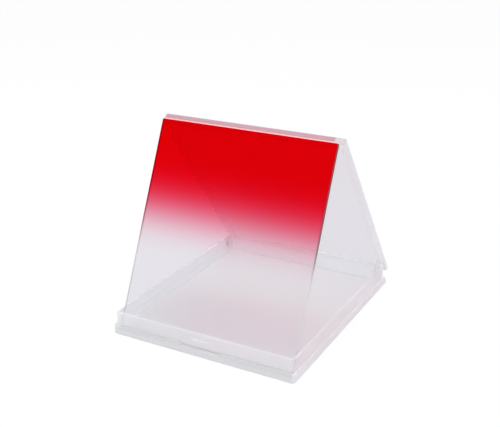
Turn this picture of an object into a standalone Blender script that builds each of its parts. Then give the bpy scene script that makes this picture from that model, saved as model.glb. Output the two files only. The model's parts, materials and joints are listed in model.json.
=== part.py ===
"""Square graduated color filter, standing in its opened hinged case.

Three mouldings: the resin filter plate, the case's base tray and the case's lid. The lid is
swung up on two pins near the tray's rear, and the filter stands in the tray with its foot
behind the front wall and its back against the lid's end wall, so the three form a tent.

Metres, +Z up, +Y to the rear. The origin is the middle of the base tray's underside.
"""

import math

import bmesh
import bpy
from mathutils import Matrix, Vector

# Filter plate
FILTER_WIDTH = 0.0840
FILTER_HEIGHT = 0.0950
FILTER_THICKNESS = 0.0018
FILTER_CORNER = 0.0010
FILTER_EDGE_BREAK = 0.00015
FILTER_SIDE_ROOM = 0.0004
FILTER_END_ROOM = 0.0019
FILTER_PAST_RIM = 0.0018

# Base tray: a foot that stands out all round, and a thinner wall set in from it
WALL = 0.0010
SIDE_LEDGE = 0.0008
FRONT_LEDGE = 0.0010
REAR_LEDGE = 0.0032
FLOOR = 0.0016
FOOT_HEIGHT = 0.0040
WALL_TOP = 0.0102
FOOT_CORNER = 0.0014
WALL_CORNER = 0.0016
REAR_FOOT_EDGE = 0.0004

# Lid: a plate with an end wall in front and two side walls, open at the hinge
LID_DEPTH = 0.0049
LID_PLATE = 0.0010
LID_TAIL = 0.0087
LID_CORNER = 0.0006
LID_REAR_CORNER = 0.0016
RIM_GAP = 0.0003

# Hinge: a pin on each hooked lid ear turns in a dimple inside the tray's side wall
HINGE_FROM_WALL = 0.0041
HINGE_HEIGHT = 0.00614
PIN_RADIUS = 0.0012
EAR_RADIUS = 0.0026
EAR_THICKNESS = 0.0012
NECK_WIDTH = 0.0022
NECK_FILLET = 0.0010
NECK_BEND = 0.0020
LID_SWING_ROOM = 0.0005
LID_TRAVEL = math.radians(23)

# Finger notch and grip bead in the middle of the front, with a notch in the lid's rim
NOTCH_WIDTH = 0.0184
NOTCH_DEPTH = 0.0010
BEAD_WIDTH = 0.0078
BEAD_RADIUS = 0.0005
BEAD_HEIGHT = 0.0069
RIM_NOTCH_WIDTH = 0.0140
RIM_NOTCH_DEPTH = 0.0006

# Clearances and rounding
GAP = 0.0003
EDGE_ROUND = 0.00018
PAST = 0.002
CORNER_STEPS = 5
ROUND_STEPS = 40

# Sizes that follow from those above: the filter lies between the front wall and the hinge ears
ROOM_WIDTH = FILTER_WIDTH + 2 * FILTER_SIDE_ROOM
ROOM_LENGTH = FILTER_HEIGHT + FILTER_END_ROOM + EAR_RADIUS + HINGE_FROM_WALL
WALL_WIDTH = ROOM_WIDTH + 2 * WALL
BASE_WIDTH = WALL_WIDTH + 2 * SIDE_LEDGE
BASE_LENGTH = FRONT_LEDGE + WALL + ROOM_LENGTH + WALL + REAR_LEDGE
FRONT = -BASE_LENGTH / 2
REAR = BASE_LENGTH / 2
WALL_FRONT = FRONT + FRONT_LEDGE
WALL_REAR = REAR - REAR_LEDGE
HINGE = Vector((0.0, WALL_REAR - WALL - HINGE_FROM_WALL, HINGE_HEIGHT))
RIM_HEIGHT = WALL_TOP + RIM_GAP
RELIEF_RADIUS = math.hypot(HINGE_FROM_WALL + WALL, WALL_TOP - HINGE_HEIGHT) + LID_SWING_ROOM
EAR_OUTSIDE = ROOM_WIDTH / 2 - GAP
PIN_SEAT = 0.7 * WALL

COLORS = {
    "color_filter": ((0.82, 0.03, 0.05, 1.0), 0.05),
    "case_base": ((0.78, 0.79, 0.83, 1.0), 0.25),
    "case_lid": ((0.80, 0.81, 0.85, 1.0), 0.22),
}


def clear_scene():
    for obj in list(bpy.data.objects):
        bpy.data.objects.remove(obj, do_unlink=True)


def new_collection(name, helper=False):
    collection = bpy.data.collections.new(name)
    collection.hide_render = helper
    bpy.context.scene.collection.children.link(collection)
    return collection


def new_material(name):
    color, roughness = COLORS[name]
    material = bpy.data.materials.new(name)
    material.use_nodes = True
    shader = material.node_tree.nodes["Principled BSDF"]
    shader.inputs["Base Color"].default_value = color
    shader.inputs["Roughness"].default_value = roughness
    shader.inputs["Metallic"].default_value = 0.0
    material.diffuse_color = color
    return material


def object_from(name, bm, collection):
    """Turns the bmesh into an object with outward normals."""
    bmesh.ops.recalc_face_normals(bm, faces=bm.faces)
    mesh = bpy.data.meshes.new(name)
    bm.to_mesh(mesh)
    bm.free()
    obj = bpy.data.objects.new(name, mesh)
    collection.objects.link(obj)
    return obj


def rounded_box(name, collection, x, y, z, front_radius=0.0, rear_radius=0.0):
    """A box between the (low, high) pairs, its upright corners rounded in front and at the rear."""
    bm = bmesh.new()
    bmesh.ops.create_cube(bm, size=1.0)
    size = Vector((x[1] - x[0], y[1] - y[0], z[1] - z[0]))
    middle = Vector((x[0] + x[1], y[0] + y[1], z[0] + z[1])) / 2
    bmesh.ops.scale(bm, vec=size, verts=bm.verts)
    bmesh.ops.translate(bm, vec=middle, verts=bm.verts)
    for radius, in_front in ((front_radius, True), (rear_radius, False)):
        if radius <= 0:
            continue
        edges = [
            edge
            for edge in bm.edges
            if abs(edge.verts[0].co.z - edge.verts[1].co.z) > size.z / 2
            and (edge.verts[0].co.y < middle.y) == in_front
        ]
        bmesh.ops.bevel(bm, geom=edges, offset=radius, segments=CORNER_STEPS, profile=0.5, affect="EDGES")
    return object_from(name, bm, collection)


def cross_cylinder(name, collection, radius, x, y, z, steps=ROUND_STEPS):
    """A cylinder along X between the pair x, round the point (y, z)."""
    bm = bmesh.new()
    turn = Matrix.Rotation(math.pi / 2, 4, "Y")
    bmesh.ops.create_cone(
        bm, cap_ends=True, segments=steps, radius1=radius, radius2=radius, depth=x[1] - x[0], matrix=turn
    )
    bmesh.ops.translate(bm, vec=((x[0] + x[1]) / 2, y, z), verts=bm.verts)
    return object_from(name, bm, collection)


def side_prism(name, collection, outline, x):
    """The outline, a list of (y, z) points, run along X between the pair x."""
    bm = bmesh.new()
    face = bm.faces.new([bm.verts.new((x[0], y, z)) for y, z in outline])
    grown = bmesh.ops.extrude_face_region(bm, geom=[face])
    moved = [item for item in grown["geom"] if isinstance(item, bmesh.types.BMVert)]
    bmesh.ops.translate(bm, vec=(x[1] - x[0], 0.0, 0.0), verts=moved)
    return object_from(name, bm, collection)


def combine(target, operation, others):
    """Adds one exact Boolean for each of the other objects."""
    for other in others:
        modifier = target.modifiers.new(f"{operation.lower()} {other.name}", "BOOLEAN")
        modifier.operation = operation
        modifier.solver = "EXACT"
        modifier.object = other
        other.display_type = "WIRE"
        other.hide_render = True


def round_edges(target, width):
    """Breaks the moulding's sharp edges."""
    modifier = target.modifiers.new("edge rounding", "BEVEL")
    modifier.width = width
    modifier.segments = 2
    modifier.limit_method = "ANGLE"
    modifier.angle_limit = math.radians(50)
    modifier.use_clamp_overlap = True


def finish_piece(obj):
    obj.data.materials.append(new_material(obj.name))
    obj.data.shade_smooth()
    obj.data.set_sharp_from_angle(angle=math.radians(30))


def make_base(parts, helpers):
    """The tray: foot, wall, room for the filter, hinge dimples, finger notch and grip bead."""
    half_foot, half_wall, half_room = BASE_WIDTH / 2, WALL_WIDTH / 2, ROOM_WIDTH / 2
    base = rounded_box(
        "case_base", parts, (-half_foot, half_foot), (FRONT, REAR), (0.0, FOOT_HEIGHT), FOOT_CORNER, FOOT_CORNER
    )
    wall = rounded_box(
        "wall", helpers, (-half_wall, half_wall), (WALL_FRONT, WALL_REAR), (FLOOR / 2, WALL_TOP), WALL_CORNER, WALL_CORNER
    )
    room = rounded_box(
        "room",
        helpers,
        (-half_room, half_room),
        (WALL_FRONT + WALL, WALL_REAR - WALL),
        (FLOOR, WALL_TOP + PAST),
        WALL_CORNER - WALL,
        WALL_CORNER - WALL,
    )
    rear_slope = side_prism(
        "rear_slope",
        helpers,
        [
            (REAR, REAR_FOOT_EDGE),
            (WALL_REAR, FOOT_HEIGHT),
            (WALL_REAR, FOOT_HEIGHT + PAST),
            (REAR + PAST, FOOT_HEIGHT + PAST),
            (REAR + PAST, REAR_FOOT_EDGE),
        ],
        (-half_foot - PAST, half_foot + PAST),
    )
    pin_dimples = cross_cylinder(
        "pin_dimples", helpers, PIN_RADIUS + GAP, (-half_room - PIN_SEAT, half_room + PIN_SEAT), HINGE.y, HINGE.z
    )
    notch = rounded_box(
        "finger_notch",
        helpers,
        (-NOTCH_WIDTH / 2, NOTCH_WIDTH / 2),
        (FRONT - PAST, WALL_FRONT),
        (FOOT_HEIGHT - NOTCH_DEPTH, FOOT_HEIGHT + PAST),
    )
    bead = cross_cylinder(
        "grip_bead", helpers, BEAD_RADIUS, (-BEAD_WIDTH / 2, BEAD_WIDTH / 2), WALL_FRONT, BEAD_HEIGHT, 16
    )
    combine(base, "DIFFERENCE", [rear_slope, notch])
    combine(base, "UNION", [wall, bead])
    combine(base, "DIFFERENCE", [room, pin_dimples])
    round_edges(base, EDGE_ROUND)
    finish_piece(base)


def make_lid(parts, helpers, opening):
    """The lid, made as it lies when closed with the hinge axis as its origin, then swung open."""
    half_wall, half_room = WALL_WIDTH / 2, ROOM_WIDTH / 2
    front = WALL_FRONT - HINGE.y
    rim = RIM_HEIGHT - HINGE.z
    top = rim + LID_DEPTH
    inside = top - LID_PLATE
    lid = rounded_box(
        "case_lid", parts, (-half_wall, half_wall), (front, LID_TAIL), (rim, top), LID_CORNER, LID_REAR_CORNER
    )
    room = rounded_box(
        "lid_room",
        helpers,
        (-half_room, half_room),
        (front + WALL, LID_TAIL + PAST),
        (rim - PAST, inside),
        LID_CORNER / 2,
    )
    relief = cross_cylinder(
        "hinge_relief", helpers, RELIEF_RADIUS, (-half_wall - PAST, half_wall + PAST), 0.0, 0.0, 2 * ROUND_STEPS
    )
    on_relief = math.radians(56)
    end_cut = side_prism(
        "side_wall_end",
        helpers,
        [
            (LID_TAIL + PAST, inside),
            (LID_TAIL, inside),
            (RELIEF_RADIUS * math.cos(on_relief), RELIEF_RADIUS * math.sin(on_relief)),
            (0.0, 0.0),
            (LID_TAIL + PAST, 0.0),
        ],
        (-half_wall - PAST, half_wall + PAST),
    )
    rim_notch = rounded_box(
        "rim_notch",
        helpers,
        (-RIM_NOTCH_WIDTH / 2, RIM_NOTCH_WIDTH / 2),
        (front - PAST, front + WALL + PAST),
        (rim - PAST, rim + RIM_NOTCH_DEPTH),
    )
    combine(lid, "DIFFERENCE", [room, relief, end_cut, rim_notch])
    for name, side in (("left", -1), ("right", 1)):
        combine(lid, "UNION", ear_pieces(helpers, name, side, inside, neck_rear(opening)))
    round_edges(lid, EDGE_ROUND)
    lid.location = HINGE
    lid.rotation_euler.x = -opening
    for helper in helpers.objects:
        if helper.get("rides_on_lid"):
            helper.parent = lid
    for helper in (room, relief, end_cut, rim_notch):
        helper.parent = lid
    finish_piece(lid)


def neck_rear(opening):
    """How far in front of the hinge axis the ears' necks stay, to clear the rear wall when fully open."""
    wall_corner = Vector((0.0, HINGE_FROM_WALL, WALL_TOP - HINGE_HEIGHT))
    seen_from_lid = Matrix.Rotation(opening + LID_TRAVEL, 3, "X") @ wall_corner
    return LID_SWING_ROOM - seen_from_lid.y


def arc(middle, radius, start, end, steps):
    """Points on an arc round (y, z), from the start angle to the end angle in degrees."""
    turns = [math.radians(start + (end - start) * step / steps) for step in range(steps + 1)]
    return [(middle[0] + radius * math.cos(turn), middle[1] + radius * math.sin(turn)) for turn in turns]


def ear_outline(rear, top):
    """The hooked ear from the side: a neck down from the lid's plate, bent back to the pin's boss."""
    front = rear + NECK_WIDTH
    outline = [(-front, top), (-rear, top)]
    outline += arc((NECK_FILLET - rear, EAR_RADIUS + NECK_FILLET), NECK_FILLET, 180, 270, CORNER_STEPS)
    outline += arc((0.0, 0.0), EAR_RADIUS, 90, -100, ROUND_STEPS // 2)
    outline += arc((NECK_BEND - front, EAR_RADIUS / 6), NECK_BEND, 250, 180, CORNER_STEPS)
    return outline


def ear_pieces(helpers, name, side, inside, rear):
    """The hooked ear that hangs from the lid's plate, its tie to the side wall, and its pin."""
    outside, wall_middle = EAR_OUTSIDE, ROOM_WIDTH / 2 + WALL / 2
    hook = side_prism(
        f"ear_hook_{name}",
        helpers,
        ear_outline(rear, inside + LID_PLATE * 0.5),
        sorted((side * (outside - EAR_THICKNESS), side * outside)),
    )
    tie = rounded_box(
        f"ear_tie_{name}",
        helpers,
        sorted((side * (outside - EAR_THICKNESS / 2), side * wall_middle)),
        (-rear - 0.9 * NECK_WIDTH, -rear - 0.1 * NECK_WIDTH),
        (math.sqrt(RELIEF_RADIUS**2 - rear**2) + GAP, inside + LID_PLATE * 0.4),
    )
    pin = cross_cylinder(
        f"pin_{name}",
        helpers,
        PIN_RADIUS,
        sorted((side * (outside - EAR_THICKNESS / 2), side * (ROOM_WIDTH / 2 + PIN_SEAT - GAP))),
        0.0,
        0.0,
    )
    pieces = [hook, tie, pin]
    for piece in pieces:
        piece["rides_on_lid"] = True
    return pieces


def filter_foot(lean):
    """The filter's lower back edge, which stands on the floor, for its angle from the table."""
    return Vector((0.0, WALL_FRONT + WALL + GAP + FILTER_THICKNESS * math.sin(lean), FLOOR + GAP))


def lid_rim(opening):
    """The outer edge of the lid's front rim, once the lid is opened by this angle."""
    closed = Vector((0.0, WALL_FRONT - HINGE.y, RIM_HEIGHT - HINGE.z))
    return HINGE + Matrix.Rotation(-opening, 3, "X") @ closed


def bisect(low, high, too_far):
    """The angle between low and high at which too_far(angle) turns true."""
    for _ in range(50):
        middle = (low + high) / 2
        if too_far(middle):
            high = middle
        else:
            low = middle
    return (low + high) / 2


def filter_lean(opening):
    """The filter's angle from the table when its back lies one gap in front of the lid's rim."""

    def clear_of_rim(lean):
        reach = lid_rim(opening) - filter_foot(lean)
        return reach.y * math.sin(lean) - reach.z * math.cos(lean) > GAP

    return bisect(math.radians(20), math.radians(89), clear_of_rim)


def lid_opening():
    """How far the lid is open when its rim meets the filter just under the filter's top edge."""

    def rim_too_high(opening):
        lean = filter_lean(opening)
        reach = lid_rim(opening) - filter_foot(lean)
        return reach.y * math.cos(lean) + reach.z * math.sin(lean) > FILTER_HEIGHT - FILTER_PAST_RIM

    return bisect(math.radians(10), math.radians(85), rim_too_high)


def make_filter(parts, lean):
    """The plate, drawn lying flat with its foot at the origin, then leaned back into place."""
    half = FILTER_WIDTH / 2
    plate = rounded_box(
        "color_filter",
        parts,
        (-half, half),
        (0.0, FILTER_HEIGHT),
        (0.0, FILTER_THICKNESS),
        FILTER_CORNER,
        FILTER_CORNER,
    )
    round_edges(plate, FILTER_EDGE_BREAK)
    plate.location = filter_foot(lean)
    plate.rotation_euler.x = lean
    finish_piece(plate)


def main():
    clear_scene()
    parts = new_collection("square_graduated_color_filter")
    helpers = new_collection("cutters", helper=True)
    opening = lid_opening()
    make_base(parts, helpers)
    make_lid(parts, helpers, opening)
    make_filter(parts, filter_lean(opening))


main()
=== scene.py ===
"""A square graduated color filter standing in its opened hinged case, dressed for a studio picture.

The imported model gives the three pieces: the resin plate, the case's base tray and the case's lid.
This script gives each its finish, and sets up the floor, the light and the camera.
"""

from __future__ import annotations

import json
import logging
import math
from dataclasses import dataclass, field
from enum import Enum
from functools import reduce
from typing import Any, Callable, Union

import bpy
from mathutils import Matrix, Vector

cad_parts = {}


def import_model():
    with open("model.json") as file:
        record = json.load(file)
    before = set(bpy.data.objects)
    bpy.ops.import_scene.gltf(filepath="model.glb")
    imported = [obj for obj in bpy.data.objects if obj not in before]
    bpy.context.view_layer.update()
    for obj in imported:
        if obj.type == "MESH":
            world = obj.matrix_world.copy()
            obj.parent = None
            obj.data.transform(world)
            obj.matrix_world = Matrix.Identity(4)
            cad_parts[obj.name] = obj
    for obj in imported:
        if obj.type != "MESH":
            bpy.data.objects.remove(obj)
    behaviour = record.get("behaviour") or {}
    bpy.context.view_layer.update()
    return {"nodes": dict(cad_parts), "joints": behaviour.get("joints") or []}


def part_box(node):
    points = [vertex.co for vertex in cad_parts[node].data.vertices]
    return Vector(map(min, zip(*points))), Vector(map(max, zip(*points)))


log = logging.getLogger("color_filter")

Colour = tuple[float, float, float]
Spot = tuple[float, float, float]
Span = tuple[float, float]
Number = Union[int, float]

NOISE_DETAIL = 2.0
NOISE_MIDDLE = 0.5


class Calc(Enum):
    """The Math node's operations that the finishes use."""

    ADD = "ADD"
    SUBTRACT = "SUBTRACT"
    MULTIPLY = "MULTIPLY"
    DIVIDE = "DIVIDE"
    MAXIMUM = "MAXIMUM"
    ABSOLUTE = "ABSOLUTE"
    POWER = "POWER"


class Ray(Enum):
    """The kinds of ray that the studio's light tells apart, by the Light Path node's names."""

    CAMERA = "Is Camera Ray"
    GLOSSY = "Is Glossy Ray"
    THROUGH = "Is Transmission Ray"


class Wire:
    """One output socket in a node tree. Operators on it add the nodes that do the sum."""

    def __init__(self, shop: "Workshop", socket: bpy.types.NodeSocket) -> None:
        """Keeps the socket and the workshop whose tree it belongs to.

        Args:
            shop: the workshop that adds nodes to the tree.
            socket: the output socket that this wire starts from.
        """
        self.shop = shop
        self.socket = socket

    def _sum(self, calc: Calc, left: Any, right: Any = None) -> "Wire":
        """Adds one Math node.

        Args:
            calc: what the node does.
            left: its first value, a wire or a number.
            right: its second value, where it has one.

        Returns:
            The node's result.
        """
        values = {0: left} if right is None else {0: left, 1: right}
        return self.shop.node("ShaderNodeMath", {"operation": calc.value}, values)

    def __add__(self, other: Any) -> "Wire":
        """Self plus other."""
        return self._sum(Calc.ADD, self, other)

    def __radd__(self, other: Any) -> "Wire":
        """Other plus self."""
        return self._sum(Calc.ADD, other, self)

    def __sub__(self, other: Any) -> "Wire":
        """Self minus other."""
        return self._sum(Calc.SUBTRACT, self, other)

    def __rsub__(self, other: Any) -> "Wire":
        """Other minus self."""
        return self._sum(Calc.SUBTRACT, other, self)

    def __mul__(self, other: Any) -> "Wire":
        """Self times other."""
        return self._sum(Calc.MULTIPLY, self, other)

    def __rmul__(self, other: Any) -> "Wire":
        """Other times self."""
        return self._sum(Calc.MULTIPLY, other, self)

    def __truediv__(self, other: Any) -> "Wire":
        """Self over other."""
        return self._sum(Calc.DIVIDE, self, other)

    def __pow__(self, other: Any) -> "Wire":
        """Self to the power of other."""
        return self._sum(Calc.POWER, self, other)

    def __rpow__(self, other: Any) -> "Wire":
        """Other to the power of self."""
        return self._sum(Calc.POWER, other, self)

    def __abs__(self) -> "Wire":
        """Self without its sign."""
        return self._sum(Calc.ABSOLUTE, self)

    def at_least(self, other: Any) -> "Wire":
        """The larger of self and other."""
        return self._sum(Calc.MAXIMUM, self, other)

    def near(self, middle: Number, reach: Number) -> "Wire":
        """1 where self is within half the reach of middle, and 0 past the reach."""
        return abs(self - middle).smooth(reach, reach / 2)

    def smooth(self, start: Number, end: Number) -> "Wire":
        """Runs smoothly from 0 where self is start to 1 where it is end.

        Args:
            start: the value that gives 0.
            end: the value that gives 1.

        Returns:
            The eased value.
        """
        low, high = min(start, end), max(start, end)
        rising = self.shop.node(
            "ShaderNodeMapRange",
            {"interpolation_type": "SMOOTHSTEP"},
            {"Value": self, "From Min": low, "From Max": high},
        )
        return rising if start < end else 1 - rising


class Workshop:
    """Adds nodes to one material's or world's tree."""

    def __init__(self, tree: bpy.types.NodeTree, output: str = "ShaderNodeOutputMaterial") -> None:
        """Empties the tree and gives it its output node.

        Args:
            tree: the node tree to fill.
            output: the type of its output node.
        """
        self.tree = tree
        tree.nodes.clear()
        self.output = tree.nodes.new(output)

    def node(self, kind: str, settings: dict[str, Any], values: dict[Any, Any], output: Any = 0) -> Wire:
        """Adds any node.

        Args:
            kind: the node's type, as Blender names it.
            settings: the node's own properties, set before its sockets.
            values: a number, colour, vector or wire for each input socket, by name or number.
            output: the output socket wanted, by name or number.

        Returns:
            The wire from that output.
        """
        made = self.tree.nodes.new(kind)
        for name, value in settings.items():
            setattr(made, name, value)
        for name, value in values.items():
            if isinstance(value, Wire):
                self.tree.links.new(value.socket, made.inputs[name])
            else:
                made.inputs[name].default_value = value
        return Wire(self, made.outputs[output])

    def end_in(self, shader: Wire) -> None:
        """Joins the shader to the output node."""
        self.tree.links.new(shader.socket, self.output.inputs["Surface"])

    def place(self) -> Wire:
        """The point's place in the part's own frame, in metres, which moves with its body."""
        return self.node("ShaderNodeTexCoord", {}, {}, "Object")

    def backface(self) -> Wire:
        """1 where a face is seen from its back, so from within the plastic, and 0 elsewhere."""
        return self.node("ShaderNodeNewGeometry", {}, {}, "Backfacing")

    def parts(self, point: Wire) -> tuple[Wire, Wire, Wire]:
        """Splits a point.

        Args:
            point: the point.

        Returns:
            Its X, Y and Z: across, back and up.
        """
        split = self.node("ShaderNodeSeparateXYZ", {}, {0: point}).socket.node
        across, back, up = (Wire(self, output) for output in split.outputs)
        return across, back, up

    def along(self, point: Wire, axis: Vector, start: Vector) -> Wire:
        """How far a point lies from start along a direction.

        Args:
            point: the point.
            axis: the direction, of length 1.
            start: where the distance is 0.

        Returns:
            The distance in metres.
        """
        values = {0: point, 1: tuple(axis)}
        dot = self.node("ShaderNodeVectorMath", {"operation": "DOT_PRODUCT"}, values, "Value")
        return dot - start.dot(axis)

    def colour(self, red: Any, green: Any, blue: Any) -> Wire:
        """A colour made of three values."""
        return self.node("ShaderNodeCombineColor", {}, {"Red": red, "Green": green, "Blue": blue})

    def shaded(self, channels: list[Wire], factor: Any) -> Wire:
        """A colour made of three channels, each times the same factor."""
        return self.colour(*[channel * factor for channel in channels])

    def mix(self, factor: Any, first: Any, second: Any) -> Wire:
        """Blends two colours.

        Args:
            factor: 0 for the first colour, 1 for the second.
            first: a colour or a wire.
            second: a colour or a wire.

        Returns:
            The blended colour.
        """
        values = {0: factor, 6: first, 7: second}
        for name in (6, 7):
            if not isinstance(values[name], Wire):
                values[name] = (*values[name], 1.0)
        return self.node("ShaderNodeMix", {"data_type": "RGBA"}, values, 2)

    def noise(self, point: Wire, scale: float, stretch: Spot = (1.0, 1.0, 1.0)) -> Wire:
        """A soft random value round NOISE_MIDDLE.

        Args:
            point: where it is read.
            scale: waves per metre.
            stretch: how the scale differs along X, Y and Z.

        Returns:
            The noise, from about 0 to 1.
        """
        stretched = self.node("ShaderNodeVectorMath", {"operation": "MULTIPLY"}, {0: point, 1: stretch})
        values = {"Vector": stretched, "Scale": scale, "Detail": NOISE_DETAIL}
        return self.node("ShaderNodeTexNoise", {}, values)

    def bump(self, height: Wire, distance: float) -> Wire:
        """Turns a height from 0 to 1 into a changed normal, as if 1 were that distance in metres."""
        return self.node("ShaderNodeBump", {}, {"Height": height, "Strength": 1.0, "Distance": distance})

    def blend(self, share: Any, first: Wire, second: Wire) -> Wire:
        """Mixes two shaders, with all of the first at a share of 0 and all of the second at 1."""
        return self.node("ShaderNodeMixShader", {}, {0: share, 1: first, 2: second})

    def principled(self, **values: Any) -> Wire:
        """A Principled shader.

        Args:
            **values: its sockets by name, with _ for a space.

        Returns:
            The shader.
        """
        named = {name.replace("_", " "): value for name, value in values.items()}
        return self.node("ShaderNodeBsdfPrincipled", {}, named)


def new_material(name: str) -> tuple[bpy.types.Material, Workshop]:
    """Makes an empty material.

    Args:
        name: the material's name.

    Returns:
        The material and the workshop that fills its tree.
    """
    material = bpy.data.materials.new(name)
    material.use_nodes = True
    return material, Workshop(material.node_tree)


def dress(piece: bpy.types.Object, material: bpy.types.Material) -> None:
    """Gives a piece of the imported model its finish.

    Args:
        piece: the piece.
        material: the finish.
    """
    piece.data.materials.clear()
    piece.data.materials.append(material)
    log.info("%s: %s", piece.name, material.name)


@dataclass(frozen=True)
class GraduatedResin:
    """Polished clear resin, dyed from the top down and fading out below the middle, with ground cut edges
    that carry painted shade down the sides and a painted highlight along the top.

    Attributes:
        clear: what the undyed resin lets through.
        absorbs: how strongly the full dye holds back red, green and blue.
        full_above: how far down the plate the dye is full, as a share of its height.
        clear_below: how far down it ends, as a share of the height.
        fade_bend: how quickly the dye thins out between the two.
        streak_scale: waves per metre of the dye's faint streaks.
        streak_stretch: how that differs along X, Y and Z.
        streak_depth: how much dye the streaks add or take.
        polish: the faces' roughness.
        bending: the refractive index.
        gloss: how much of the mirror image is kept.
        edge_break: the height of the broken edge along the plate's top, in metres.
        edge_solid: the share of it that takes the painted highlight in full.
        highlight_tone: the colour of the painted highlight on the broken edge.
        highlight_glow: how much that painted highlight glows, though the edge is no lamp.
        edge_roughness: its roughness.
        side_skin: how near the plate's side a point lies on the cut face, in metres.
        side_roughness: the cut face's roughness.
        painted_side_tone: how light the cut face is where the resin is clear, a grey that is painted shade.
        side_shade: how much darker the painted shade makes it where the resin is dyed.
        side_strip: the width of the strip of painted shade beside the cut face, in metres.
        strip_shade: how much darker that painted shade makes the strip where the resin is dyed.
        inner_light: how much of the cut face's painted shade is lost where it is seen through the resin.
        side_dark_above: how far down the plate the painted shade is full, as a share of its height.
        side_light_below: how far down the painted shade ends, as a share of the height.
    """

    clear: Colour = (0.995, 0.995, 1.0)
    absorbs: Colour = (0.04, 7.5, 5.75)
    full_above: float = 0.136
    clear_below: float = 0.788
    fade_bend: float = 3.27
    streak_scale: float = 60.0
    streak_stretch: Spot = (1.0, 0.15, 0.15)
    streak_depth: float = 0.05
    polish: float = 0.02
    bending: float = 1.4
    gloss: float = 0.3
    edge_break: float = 0.0005
    edge_solid: float = 0.6
    highlight_tone: Colour = (1.0, 0.42, 0.45)
    highlight_glow: float = 0.25
    edge_roughness: float = 0.35
    side_skin: float = 0.00004
    side_roughness: float = 0.4
    painted_side_tone: float = 0.66
    side_shade: float = 0.44
    side_strip: float = 0.0006
    strip_shade: float = 0.26
    inner_light: float = 0.5
    side_dark_above: float = 0.45
    side_light_below: float = 0.64

    def make(self, plate: "FilterPlate") -> bpy.types.Material:
        """Builds the material.

        Args:
            plate: the plate, for where its top and its edges are.

        Returns:
            The finished material.
        """
        material, shop = new_material("graduated_resin")
        place = shop.place()
        from_top = 1 - shop.along(place, plate.up, plate.foot) / plate.height
        channels = self._dyed(shop, place, from_top)
        across, half = abs(shop.parts(place)[0]), plate.width / 2
        high_up = from_top.smooth(self.side_light_below, self.side_dark_above)
        # painted shade: a dark strip beside each cut face, where the resin is dyed
        strip = across.smooth(half - self.side_strip, half - self.side_strip / 2) * high_up
        on_side = across.smooth(half - self.side_skin, half - self.side_skin / 2)
        faces = shop.blend(on_side, self._body(shop, channels, strip), self._side(shop, channels, high_up))
        from_edge = from_top * plate.height
        # painted highlight: the broken top edge takes a pale pink glowing colour
        on_top = from_edge.smooth(self.edge_break, self.edge_solid * self.edge_break)
        shop.end_in(shop.blend(on_top, faces, self._top_highlight(shop, from_edge)))
        return material

    def _dyed(self, shop: Workshop, place: Wire, from_top: Wire) -> list[Wire]:
        """The resin's colour, full red at the top and clear at the foot.

        Args:
            shop: the material's workshop.
            place: the point.
            from_top: how far down the plate the point lies, from 0 to 1.

        Returns:
            Its red, green and blue channels.
        """
        dye = from_top.smooth(self.clear_below, self.full_above) ** self.fade_bend
        streaks = shop.noise(place, self.streak_scale, self.streak_stretch) - NOISE_MIDDLE
        density = (dye * (1 + self.streak_depth * streaks)).at_least(0.0)
        return [tone * (math.exp(-strength) ** density) for tone, strength in zip(self.clear, self.absorbs)]

    def _body(self, shop: Workshop, channels: list[Wire], strip: Wire) -> Wire:
        """The see-through resin.

        Args:
            shop: the material's workshop.
            channels: the resin's red, green and blue.
            strip: 1 on the strip of painted shade beside the cut face.

        Returns:
            The shader.
        """
        # painted shade darkens the resin on the strip beside the cut face
        return shop.principled(
            Base_Color=shop.shaded(channels, 1 - self.strip_shade * strip),
            Roughness=self.polish,
            IOR=self.bending,
            Transmission_Weight=1.0,
            Specular_Tint=(self.gloss, self.gloss, self.gloss, 1.0),
        )

    def _side(self, shop: Workshop, channels: list[Wire], high_up: Wire) -> Wire:
        """The cut face down each side: from outside a dull grey face whose darkness, deeper where dyed, is
        painted shade; through the resin a translucent face that passes light, with part of that painted
        shade taken off.

        Args:
            shop: the material's workshop.
            channels: the resin's red, green and blue.
            high_up: 1 where the painted shade is full and 0 where it has ended.

        Returns:
            The shader.
        """
        # painted shade: the cut face is grey, and darker high up where the resin is dyed
        tone = self.painted_side_tone - self.side_shade * high_up
        outer = shop.principled(Base_Color=shop.shaded(channels, tone), Roughness=self.side_roughness)
        lightened = self.inner_light + (1 - self.inner_light) * tone
        inner = shop.node("ShaderNodeBsdfTranslucent", {}, {"Color": shop.shaded(channels, lightened)})
        return shop.blend(shop.backface(), outer, inner)

    def _top_highlight(self, shop: Workshop, from_edge: Wire) -> Wire:
        """The broken edge along the plate's top, painted as a highlight: a pale pink colour that glows a
        little.

        Args:
            shop: the material's workshop.
            from_edge: how far below the plate's top the point lies, in metres.

        Returns:
            The shader.
        """
        # painted highlight: a pale pink colour that glows, though the edge is no lamp
        tone = (*self.highlight_tone, 1.0)
        return shop.principled(
            Base_Color=tone,
            Roughness=self.edge_roughness,
            Normal=shop.bump(from_edge.smooth(0.0, self.edge_break), self.edge_break),
            Emission_Color=tone,
            Emission_Strength=self.highlight_glow,
        )


Area = Callable[[Workshop, Wire], Wire]


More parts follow.
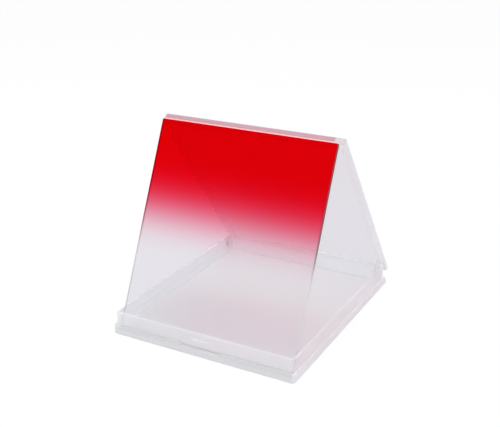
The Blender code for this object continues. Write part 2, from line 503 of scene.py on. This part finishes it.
@dataclass(frozen=True)
class FrostedPlastic:
    """Thin moulded plastic, clear and satin, with a milkiness that differs from place to place.

    Milk and painted light show on a face seen from its front only, or a thin wall would show them twice.

    Attributes:
        name: the material's name.
        tone: what the clear plastic lets through.
        roughness: how satin it is.
        bending: the refractive index, low because a thin wall hardly shifts what is seen through it.
        through: the share of the milk's light that comes through it from behind.
        flow_scale: waves per metre of the faint marks of the plastic's flow.
        flow_span: the noise at which a mark is darkest, and at which it ends.
        flow_dim: how light the marks are, beside the tone.
        flow_roughness: how much the marks change the roughness.
    """

    name: str
    tone: Colour = (0.97, 0.98, 0.985)
    roughness: float = 0.31
    bending: float = 1.06
    through: float = 0.3
    flow_scale: float = 30.0
    flow_span: Span = (0.3, 0.7)
    flow_dim: float = 0.985
    flow_roughness: float = 0.06

    def make(self, milk: Area, painted_light_tints: list[tuple[Area, Colour]]) -> bpy.types.Material:
        """Builds the material.

        Args:
            milk: gives the share of milk at a place, from 0 to 1.
            painted_light_tints: areas where light or shade is painted as a tone, each with its tone.

        Returns:
            The finished material.
        """
        material, shop = new_material(self.name)
        place = shop.place()
        outside = 1 - shop.backface()
        flow = shop.noise(place, self.flow_scale)
        dimmed = [self.flow_dim * part for part in self.tone]
        tone = shop.mix(flow.smooth(*self.flow_span), dimmed, self.tone)
        # painted light and shade, laid over the plastic's tone
        for area, painted_light_tint in painted_light_tints:
            tone = shop.mix(area(shop, place) * outside, tone, painted_light_tint)
        roughness = self.roughness + self.flow_roughness * (flow - NOISE_MIDDLE)
        clear, solid = (
            shop.principled(
                Base_Color=tone, Roughness=roughness, IOR=self.bending, Transmission_Weight=clearness
            )
            for clearness in (1.0, 0.0)
        )
        glow = shop.node("ShaderNodeBsdfTranslucent", {}, {"Color": tone})
        milky = shop.blend(self.through, solid, glow)
        shop.end_in(shop.blend(milk(shop, place) * outside, clear, milky))
        return material


@dataclass
class FilterPlate:
    """The resin plate, leaning back from its foot behind the tray's front wall.

    Attributes:
        width: from side to side, in metres.
        height: from foot to top along the plate, in metres.
        lean: the angle between the plate and the table.
        finish: the resin.
    """

    width: float = 0.0840
    height: float = 0.0950
    lean: float = math.radians(66.24)
    finish: GraduatedResin = field(default_factory=GraduatedResin)

    @property
    def thickness(self) -> float:
        """The plate's thickness, which is what its height leaves of the box that it fills."""
        low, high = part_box("color_filter")
        return (high[2] - low[2] - self.height * math.sin(self.lean)) / math.cos(self.lean)

    @property
    def foot(self) -> Vector:
        """The middle of the plate's lower back edge."""
        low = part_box("color_filter")[0]
        return Vector((0.0, low[1] + self.thickness * math.sin(self.lean), low[2]))

    @property
    def up(self) -> Vector:
        """The direction from the plate's foot to its top."""
        return Vector((0.0, math.cos(self.lean), math.sin(self.lean)))

    def build(self, nodes: dict[str, bpy.types.Object]) -> None:
        """Dresses the plate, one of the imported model's nodes."""
        dress(nodes["color_filter"], self.finish.make(self))


@dataclass
class HingedCase:
    """The base tray and the lid, two mouldings of one plastic, milkier where it is thick or seen edge on.

    Lengths are in metres and milk runs from 0 to 1. The filter's red light on the case, and the shade on the
    tray's foot and floor and on the lid's walls, are painted into the tones.

    Attributes:
        hinge: a point on the hinge's axis.
        wall: the walls' thickness.
        floor: the floor's thickness.
        foot_height: the height of the flange round the tray's foot.
        ledge: how far the flange stands out at each side.
        front_ledge: how far it stands out in front.
        rear_ledge: how far it stands out behind.
        bead_height: the height of the grip bead's middle.
        edge: the width over which one area runs into the next.
        skin: how deep in a wall its outer face starts and is full, as shares of its thickness.
        rim: the height of the milky band along the tray's rim and the lid's tail.
        opening: the lid's angle to the table in the shown pose.
        lid_length: from the hinge to the lid's far end.
        lid_tail: from the hinge to the end of the lid's tail.
        lid_outside: from the hinge to the lid's outer face.
        end_from: from the hinge, outward, to where the end wall shows above the standing filter.
        red_light_right: how far to the right the painted red light reaches on the end wall.
        plate_milk: the least milk, on the lid's plate and wherever no more is named.
        floor_milk: the milk on the tray's floor.
        wall_milk: the milk on the outer faces of the tray's walls.
        inner_milk: the milk on their inner faces.
        rim_milk: the milk on the tray's rim and the end of the lid's tail.
        bead_milk: the milk on the grip bead.
        end_milk: the milk on the lid's end wall.
        side_milk: the milk on the outer faces of the lid's side walls.
        lid_side_painted_shade: the tone of the lid's side walls, a slight painted shade.
        end_painted_shade: the tone of its end wall, a painted shade.
        end_painted_red_light: the red light that the filter throws on its end wall, painted as a tone.
        floor_painted_shade: the tone of the tray's floor, a painted shade with a faint warmth of the
            filter's red light.
        floor_painted_red_light: the red light that the plate lets through, painted on the floor as a tone.
        red_light_left: where that painted light starts at the left and where it is full.
        red_light_back: where it ends at the rear and where it is full.
        painted_side_tone: the tone of the tray's right side, the filter's red light painted on it.
        foot_painted_shade: the tone of the tray's foot, a painted shade.
        finish: the tray's plastic.
        lid_finish: the lid's plastic.
    """

    hinge: Vector
    wall: float = 0.0010
    floor: float = 0.0016
    foot_height: float = 0.0040
    ledge: float = 0.0008
    front_ledge: float = 0.0010
    rear_ledge: float = 0.0032
    bead_height: float = 0.0069
    edge: float = 0.0002
    skin: Span = (0.85, 0.65)
    rim: float = 0.0008
    opening: float = math.radians(51.09)
    lid_length: float = 0.1005
    lid_tail: float = 0.0087
    lid_outside: float = 0.00926
    end_from: float = 0.0056
    red_light_right: float = 0.0390
    plate_milk: float = 0.12
    floor_milk: float = 0.33
    wall_milk: float = 0.40
    inner_milk: float = 0.16
    rim_milk: float = 0.41
    bead_milk: float = 0.52
    end_milk: float = 0.85
    side_milk: float = 0.70
    lid_side_painted_shade: Colour = (0.93, 0.92, 0.94)
    end_painted_shade: Colour = (0.63, 0.59, 0.62)
    end_painted_red_light: Colour = (0.53, 0.33, 0.36)
    floor_painted_shade: Colour = (0.90, 0.885, 0.88)
    floor_painted_red_light: Colour = (0.915, 0.82, 0.84)
    red_light_left: Span = (-0.038, -0.002)
    red_light_back: Span = (0.018, -0.018)
    painted_side_tone: Colour = (0.98, 0.93, 0.935)
    foot_painted_shade: Colour = (0.80, 0.83, 0.80)
    finish: FrostedPlastic = field(default_factory=lambda: FrostedPlastic("frosted_base"))
    lid_finish: FrostedPlastic = field(
        default_factory=lambda: FrostedPlastic("frosted_lid", (0.955, 0.95, 0.955))
    )

    def build(self, nodes: dict[str, bpy.types.Object]) -> None:
        """Dresses the tray and the lid.

        Args:
            nodes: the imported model's nodes.
        """
        tray_painted_light = [
            # painted shade on the tray's foot
            (self._foot_shade_area, self.foot_painted_shade),
            # painted shade, faintly warm from the filter's red light, on the tray's floor
            (self._floor, self.floor_painted_shade),
            # painted red light from the filter on the tray's floor
            (self._floor_red_light_area, self.floor_painted_red_light),
            # painted red light from the filter on the tray's right side
            (self._right_side_red_light_area, self.painted_side_tone),
        ]
        dress(nodes["case_base"], self.finish.make(self._tray_milk, tray_painted_light))
        lid_painted_light = [
            # slight painted shade on the lid's side walls
            (self._lid_sides, self.lid_side_painted_shade),
            # painted shade on the lid's end wall
            (self._end_wall, self.end_painted_shade),
            # painted red light from the filter on the lid's end wall
            (self._end_red_light_area, self.end_painted_red_light),
        ]
        dress(nodes["case_lid"], self.lid_finish.make(self._lid_milk, lid_painted_light))

    @property
    def tray_side(self) -> float:
        """From the tray's middle to the outer face of its side wall."""
        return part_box("case_base")[1][0] - self.ledge

    @property
    def slope(self) -> Vector:
        """The direction down the opened lid's plate, towards the hinge."""
        return Vector((0.0, math.cos(self.opening), -math.sin(self.opening)))

    @property
    def outward(self) -> Vector:
        """The direction out of the opened lid's plate, upwards and to the rear."""
        return Vector((0.0, math.sin(self.opening), math.cos(self.opening)))

    def _outer(self, shop: Workshop, place: Wire) -> Wire:
        """The outer faces of the tray's walls, and its foot's flange, which lies outside them.

        Args:
            shop: the material's workshop.
            place: the point.

        Returns:
            1 there and 0 on the inner faces.
        """
        low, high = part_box("case_base")
        across, back, _ = shop.parts(place)
        to_side = self.tray_side - abs(across)
        to_front = back - low[1] - self.front_ledge
        to_rear = high[1] - self.rear_ledge - back
        deep, shallow = (share * self.wall for share in self.skin)
        ends = to_front.smooth(deep, shallow).at_least(to_rear.smooth(deep, shallow))
        return to_side.smooth(deep, shallow).at_least(ends)

    def _foot_shade_area(self, shop: Workshop, place: Wire) -> Wire:
        """The tray's foot and its underside, where shade is painted.

        Args:
            shop: the material's workshop.
            place: the point.

        Returns:
            1 there and 0 elsewhere.
        """
        up = shop.parts(place)[2]
        under = up.smooth(self.floor / 2, self.floor / 4)
        low_down = up.smooth(self.foot_height + 2 * self.edge, self.foot_height)
        return low_down * self._outer(shop, place).at_least(under)

    def _floor(self, shop: Workshop, place: Wire) -> Wire:
        """The upper side of the tray's floor.

        Args:
            shop: the material's workshop.
            place: the point.

        Returns:
            1 there and 0 elsewhere.
        """
        inside = self.tray_side - self.wall
        across, _, up = shop.parts(place)
        within = abs(across).smooth(inside + self.edge, inside - self.edge)
        return up.near(self.floor, 2 * self.edge) * within

    def _floor_red_light_area(self, shop: Workshop, place: Wire) -> Wire:
        """1 on the part of the floor where the red light that the plate lets through is painted."""
        across, back, _ = shop.parts(place)
        return self._floor(shop, place) * across.smooth(*self.red_light_left) * back.smooth(*self.red_light_back)

    def _right_side_red_light_area(self, shop: Workshop, place: Wire) -> Wire:
        """1 on the outer faces of the tray's right side, where the filter's red light is painted."""
        return shop.parts(place)[0].smooth(self.tray_side - 2 * self.edge, self.tray_side - self.edge)

    def _rim(self, shop: Workshop, place: Wire) -> Wire:
        """The band along the top of the tray's walls, and of the rear wall its upper face alone.

        Args:
            shop: the material's workshop.
            place: the point.

        Returns:
            1 there and 0 elsewhere.
        """
        _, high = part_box("case_base")
        _, back, up = shop.parts(place)
        rear_face = high[1] - self.rear_ledge - self.wall
        ahead = back.smooth(rear_face, rear_face - self.edge)
        band = up.smooth(high[2] - self.rim, high[2] - self.rim / 2)
        upper_face = up.smooth(high[2] - self.edge / 2, high[2] - self.edge / 4)
        return (band * ahead).at_least(upper_face)

    def _bead(self, shop: Workshop, place: Wire) -> Wire:
        """The grip bead on the tray's front wall.

        Args:
            shop: the material's workshop.
            place: the point.

        Returns:
            1 there and 0 elsewhere.
        """
        wall_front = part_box("case_base")[0][1] + self.front_ledge
        _, back, up = shop.parts(place)
        return up.near(self.bead_height, 4 * self.edge) * back.smooth(wall_front, wall_front - self.edge / 2)

    def _tray_milk(self, shop: Workshop, place: Wire) -> Wire:
        """The tray's milkiness: most on the bead, then the rim, the outer faces, the floor and the inside.

        Args:
            shop: the material's workshop.
            place: the point.

        Returns:
            The share of milk.
        """
        on_wall = shop.parts(place)[2].smooth(self.floor + self.edge, self.floor + 2 * self.edge)
        wall_milk = self.inner_milk + (self.wall_milk - self.inner_milk) * self._outer(shop, place)
        milk = (self.floor_milk * self._floor(shop, place)).at_least(wall_milk * on_wall)
        milk = milk.at_least(self.plate_milk).at_least(self.rim_milk * self._rim(shop, place))
        return milk.at_least(self.bead_milk * self._bead(shop, place))

    def _lid_sides(self, shop: Workshop, place: Wire) -> Wire:
        """1 on the outer faces of the lid's two side walls."""
        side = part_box("case_lid")[1][0]
        return abs(shop.parts(place)[0]).smooth(side - self.wall / 2, side - self.wall / 4)

    def _end_wall(self, shop: Workshop, place: Wire) -> Wire:
        """The lid's end wall, from the standing filter's top up to the lid's plate.

        Args:
            shop: the material's workshop.
            place: the point.

        Returns:
            1 there and 0 elsewhere.
        """
        from_end = shop.along(place, self.slope, self.hinge - self.slope * self.lid_length)
        on_end = from_end.smooth(self.wall / 2, self.wall / 4)
        out = shop.along(place, self.outward, self.hinge)
        below_plate = out.smooth(self.lid_outside, self.lid_outside - 2 * self.edge)
        return on_end * below_plate * out.smooth(self.end_from, self.end_from + 2 * self.edge)

    def _end_red_light_area(self, shop: Workshop, place: Wire) -> Wire:
        """1 on the lid's end wall, as far to the right as the filter's red light is painted on it."""
        across, fade = shop.parts(place)[0], 2 * self.edge
        return self._end_wall(shop, place) * across.smooth(self.red_light_right + fade, self.red_light_right - fade)

    def _lid_milk(self, shop: Workshop, place: Wire) -> Wire:
        """The lid's milkiness: most on its end wall, then on its side walls and its tail's end.

        Args:
            shop: the material's workshop.
            place: the point.

        Returns:
            The share of milk.
        """
        tail_end = self.hinge + self.slope * self.lid_tail
        on_tail = shop.along(place, self.slope, tail_end).smooth(-self.rim, -self.rim / 2)
        milk = (self.rim_milk * on_tail).at_least(self.plate_milk)
        milk = milk.at_least(self.side_milk * self._lid_sides(shop, place))
        return milk.at_least(self.end_milk * self._end_wall(shop, place))


@dataclass
class Studio:
    """A white table in a pale room, dark only where the filter's face mirrors it, under one soft lamp.

    Attributes:
        paper: the table's own colour.
        white: what the camera sees of the table and the room.
        backdrop: what gloss and clear plastic show of them.
        paper_glow: how much of the table's look comes from those two.
        floor_size: the table's width, in metres.
        floor_drop: how far it lies below the case, in metres.
        room: the room's level of light.
        dark_level: the level of the room's dark part, in gloss.
        dark_way: the direction of its middle, which the filter's face mirrors towards the camera.
        dark_span: where the dark starts and is full, as the cosine of the angle to that direction.
        lamp_watts: the lamp's power.
        lamp_size: its width, in metres.
        lamp_place: where it hangs, turned to the case.
    """

    paper: Colour = (0.93, 0.93, 0.93)
    white: Colour = (1.0, 1.0, 1.0)
    backdrop: Colour = (0.765, 0.755, 0.80)
    paper_glow: float = 0.93
    floor_size: float = 6.0
    floor_drop: float = 0.0003
    room: float = 0.95
    dark_level: float = 0.02
    dark_way: Spot = (-0.44, -0.82, 0.36)
    dark_span: Span = (0.88, 0.975)
    lamp_watts: float = 4.2
    lamp_size: float = 0.32
    lamp_place: Spot = (0.0, -0.115, 0.75)

    def build(self) -> None:
        """Makes the floor, the world and the lamp."""
        self._floor()
        self._world()
        self._lamp()

    @staticmethod
    def _ray(shop: Workshop, *kinds: Ray) -> Wire:
        """1 for a ray of any of the kinds, and 0 for the rest."""
        rays = [shop.node("ShaderNodeLightPath", {}, {}, kind.value) for kind in kinds]
        return reduce(Wire.at_least, rays)

    def _backdrop(self, shop: Workshop) -> Wire:
        """White where the camera looks straight at it, and the studio's own pale grey in gloss and resin."""
        return shop.mix(self._ray(shop, Ray.CAMERA), self.backdrop, self.white)

    def _floor(self) -> None:
        """Lays a flat sheet of white paper, larger than the view."""
        mesh = bpy.data.meshes.new("paper")
        half = self.floor_size / 2
        corners = [(-half, -half, 0.0), (half, -half, 0.0), (half, half, 0.0), (-half, half, 0.0)]
        mesh.from_pydata(corners, [], [(0, 1, 2, 3)])
        paper = bpy.data.objects.new("paper", mesh)
        paper.location.z = -self.floor_drop
        bpy.context.scene.collection.objects.link(paper)
        material, shop = new_material("paper")
        lit = shop.node("ShaderNodeBsdfDiffuse", {}, {"Color": (*self.paper, 1.0)})
        glow = shop.node("ShaderNodeEmission", {}, {"Color": self._backdrop(shop), "Strength": 1.0})
        seen = self._ray(shop, Ray.CAMERA, Ray.GLOSSY, Ray.THROUGH)
        shop.end_in(shop.blend(seen * self.paper_glow, lit, glow))
        mesh.materials.append(material)
        log.info("paper: %s m square", self.floor_size)

    def _world(self) -> None:
        """Lights the room evenly, apart from the dark part that gloss shows."""
        world = bpy.data.worlds.new("room")
        world.use_nodes = True
        bpy.context.scene.world = world
        shop = Workshop(world.node_tree, "ShaderNodeOutputWorld")
        way = shop.node("ShaderNodeTexCoord", {}, {}, "Generated")
        front = shop.along(way, Vector(self.dark_way).normalized(), Vector((0.0, 0.0, 0.0)))
        glossy = self._ray(shop, Ray.GLOSSY)
        dark = front.smooth(*self.dark_span) * glossy
        even = self.room + (1.0 - self.room) * glossy
        level = even - (even - self.dark_level) * dark
        seen = self._ray(shop, Ray.CAMERA, Ray.THROUGH)
        strength = level + (1.0 - level) * seen
        shop.end_in(
            shop.node("ShaderNodeBackground", {}, {"Color": self._backdrop(shop), "Strength": strength})
        )
        log.info("room: level %s", self.room)

    def _lamp(self) -> None:
        """Hangs one large soft lamp above the case."""
        lamp = bpy.data.lights.new("soft_lamp", "AREA")
        lamp.energy = self.lamp_watts
        lamp.size = self.lamp_size
        held = bpy.data.objects.new("soft_lamp", lamp)
        held.location = self.lamp_place
        held.rotation_euler = (-Vector(self.lamp_place)).to_track_quat("-Z", "Y").to_euler()
        bpy.context.scene.collection.objects.link(held)
        log.info("soft_lamp: %s W", self.lamp_watts)


@dataclass
class Viewpoint:
    """The camera, in front of the case, to its right and above it.

    Attributes:
        place: where it stands.
        right: the direction of the picture's right side.
        up: about the direction of the picture's top.
        lens: the focal length, in millimetres.
        sensor: the sensor's width, in millimetres.
        nearest: how near the camera sees, in metres.
    """

    place: Spot = (0.16276, -0.31939, 0.18072)
    right: Spot = (0.88336, 0.46862, 0.00872)
    up: Spot = (-0.17137, 0.30561, 0.93661)
    lens: float = 60.435
    sensor: float = 36.0
    nearest: float = 0.01

    def build(self) -> None:
        """Makes the camera and gives it to the scene."""
        lens = bpy.data.cameras.new("camera")
        lens.lens = self.lens
        lens.sensor_width = self.sensor
        lens.sensor_fit = "HORIZONTAL"
        lens.clip_start = self.nearest
        camera = bpy.data.objects.new("camera", lens)
        right, up = Vector(self.right).normalized(), Vector(self.up)
        back = right.cross(up).normalized()
        up = back.cross(right)
        turn = Matrix((right, up, back)).transposed()
        camera.matrix_world = Matrix.Translation(self.place) @ turn.to_4x4()
        bpy.context.scene.collection.objects.link(camera)
        bpy.context.scene.camera = camera
        log.info("camera: %s mm lens", self.lens)


def main() -> None:
    """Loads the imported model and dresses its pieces."""
    logging.basicConfig(level=logging.INFO, format="%(message)s")
    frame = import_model()
    nodes = frame["nodes"]
    Viewpoint().build()
    Studio().build()
    FilterPlate().build(nodes)
    HingedCase(Vector(frame["joints"][0]["pos_m"])).build(nodes)
    bpy.context.scene.view_settings.view_transform = "Standard"


if __name__ == "__main__":
    main()
